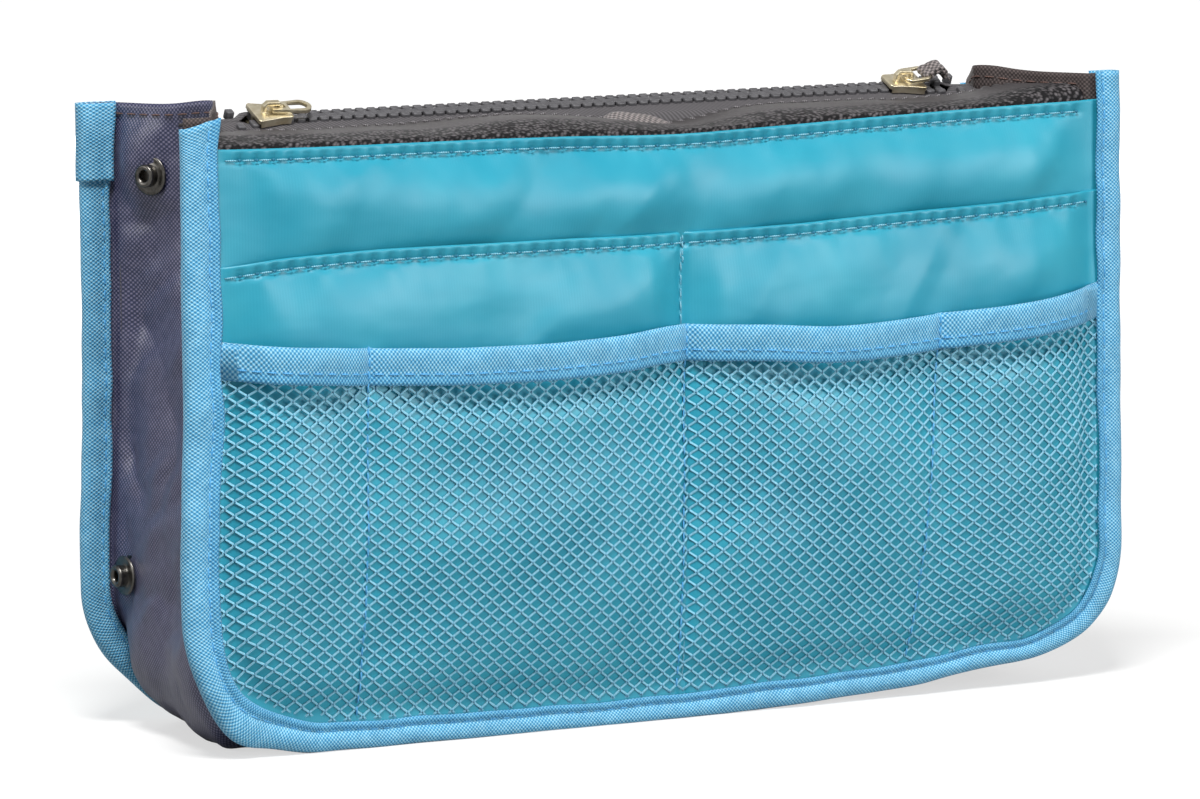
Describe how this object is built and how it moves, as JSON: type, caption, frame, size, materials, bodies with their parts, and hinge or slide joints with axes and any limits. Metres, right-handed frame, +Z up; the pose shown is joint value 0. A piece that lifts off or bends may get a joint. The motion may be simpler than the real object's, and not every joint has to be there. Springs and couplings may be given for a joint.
{
  "type": "purse organizer insert",
  "caption": "Soft upright purse organizer pouch with a two-slider zip top, slip and net pockets on its face, bound edges and end gussets that fold in with press studs.",
  "frame": {"origin": "on the floor, midway between the two faces and midway along them", "axes": "+X along the faces to the right as seen from the front, the front face looks along -Y, +Z up"},
  "size_m": [0.29, 0.0981, 0.1739],
  "materials": {
    "satin": "satin weave nylon with a soft sheen",
    "lining": "plain weave lining cloth",
    "binding_tape": "plain woven tape, matt",
    "net_yarn": "knotted net yarn",
    "oxford": "coated oxford weave",
    "facing": "pebbled cloth, matt",
    "zip_tape": "twill tape, matt",
    "webbing": "coarse woven webbing",
    "acetal": "moulded, half matt",
    "pale_gold": "plated, polished",
    "gunmetal": "dark plated"
  },
  "bodies": {
    "bag": {"front_panel": "satin", "rear_panel": "satin", "front_slip_pocket": "satin", "rear_slip_pocket": "satin", "front_lining": "lining", "rear_lining": "lining", "front_edge_binding": "binding_tape", "rear_edge_binding": "binding_tape", "front_mesh_trim": "binding_tape", "front_mesh_pocket": "net_yarn", "left_gusset": "oxford", "right_gusset": "oxford", "base_strip": "oxford", "front_facing": "facing", "rear_facing": "facing", "front_zip_tape": "zip_tape", "rear_zip_tape": "zip_tape", "front_zip_teeth": "acetal", "rear_zip_teeth": "acetal", "front_left_zip_stop": "acetal", "front_right_zip_stop": "acetal", "rear_left_zip_stop": "acetal", "rear_right_zip_stop": "acetal", "front_handle": "webbing", "rear_handle": "webbing", "left_upper_stud": "gunmetal", "left_upper_stud_cap": "gunmetal", "left_upper_socket": "gunmetal", "left_upper_socket_cap": "gunmetal", "left_lower_stud": "gunmetal", "left_lower_stud_cap": "gunmetal", "left_lower_socket": "gunmetal", "left_lower_socket_cap": "gunmetal", "right_upper_stud": "gunmetal", "right_upper_stud_cap": "gunmetal", "right_upper_socket": "gunmetal", "right_upper_socket_cap": "gunmetal", "right_lower_stud": "gunmetal", "right_lower_stud_cap": "gunmetal", "right_lower_socket": "gunmetal", "right_lower_socket_cap": "gunmetal"},
    "left_slider": {"left_slider": "pale_gold"},
    "left_pull": {"left_pull": "pale_gold"},
    "right_slider": {"right_slider": "pale_gold"},
    "right_pull": {"right_pull_ring": "pale_gold", "right_pull_ribbon": "webbing"}
  },
  "joints": [
    {"name": "left_slider_slide", "type": "slide", "parent": "bag", "child": "left_slider", "axis": [1, 0, 0], "range_m": [-0.0025, 0.085], "deforming": ["front_zip_teeth", "rear_zip_teeth"]},
    {"name": "left_pull_hinge", "type": "hinge", "parent": "left_slider", "child": "left_pull", "pos_m": [-0.102, -0.00161, 0.17044], "axis": [0, -0.9063, -0.4226], "range_deg": [0, 150]},
    {"name": "right_slider_slide", "type": "slide", "parent": "bag", "child": "right_slider", "axis": [1, 0, 0], "range_m": [-0.08, 0.009], "deforming": ["front_zip_teeth", "rear_zip_teeth"]},
    {"name": "right_pull_hinge", "type": "hinge", "parent": "right_slider", "child": "right_pull", "pos_m": [0.095, -0.00161, 0.17044], "axis": [0, -0.9063, -0.4226], "range_deg": [0, 110]}
  ]
}
